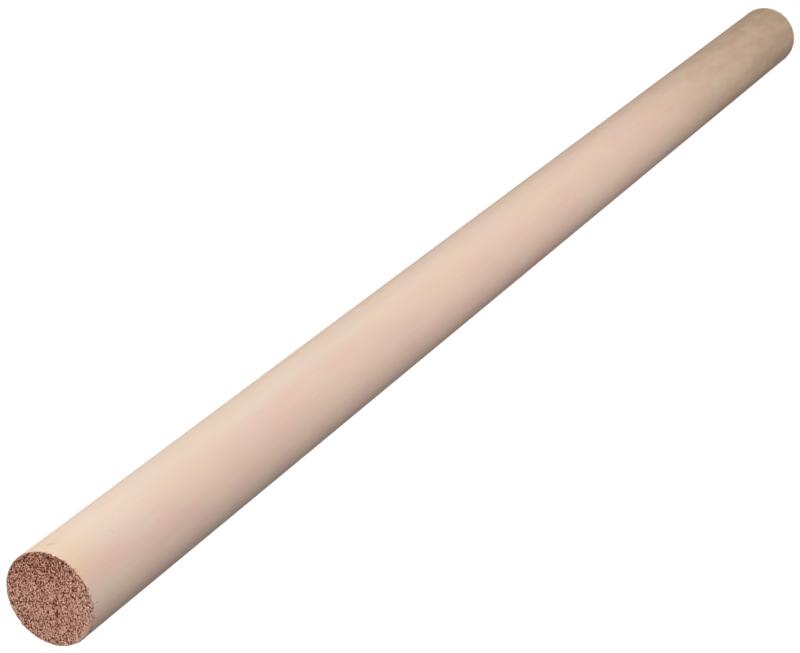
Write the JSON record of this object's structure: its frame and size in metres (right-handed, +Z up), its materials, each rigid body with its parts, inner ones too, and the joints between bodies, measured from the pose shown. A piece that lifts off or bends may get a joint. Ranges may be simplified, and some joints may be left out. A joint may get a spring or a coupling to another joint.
{
  "type": "dowel rod",
  "caption": "Long plain round wooden dowel pin, a straight rod sawn square at both ends, with pale side grain and darker rough end grain.",
  "frame": {"origin": "centre of the lower sawn end face, on which the rod stands", "axes": "+Z up along the rod's axis, from the lower sawn end to the upper one; X and Y are interchangeable, because the rod is round"},
  "size_m": [0.028, 0.028, 0.6],
  "materials": {
    "wood": "bare sanded pale hardwood, with rough-sawn reddish brown end grain"
  },
  "bodies": {
    "root": {"dowel_rod": "wood"}
  },
  "joints": []
}
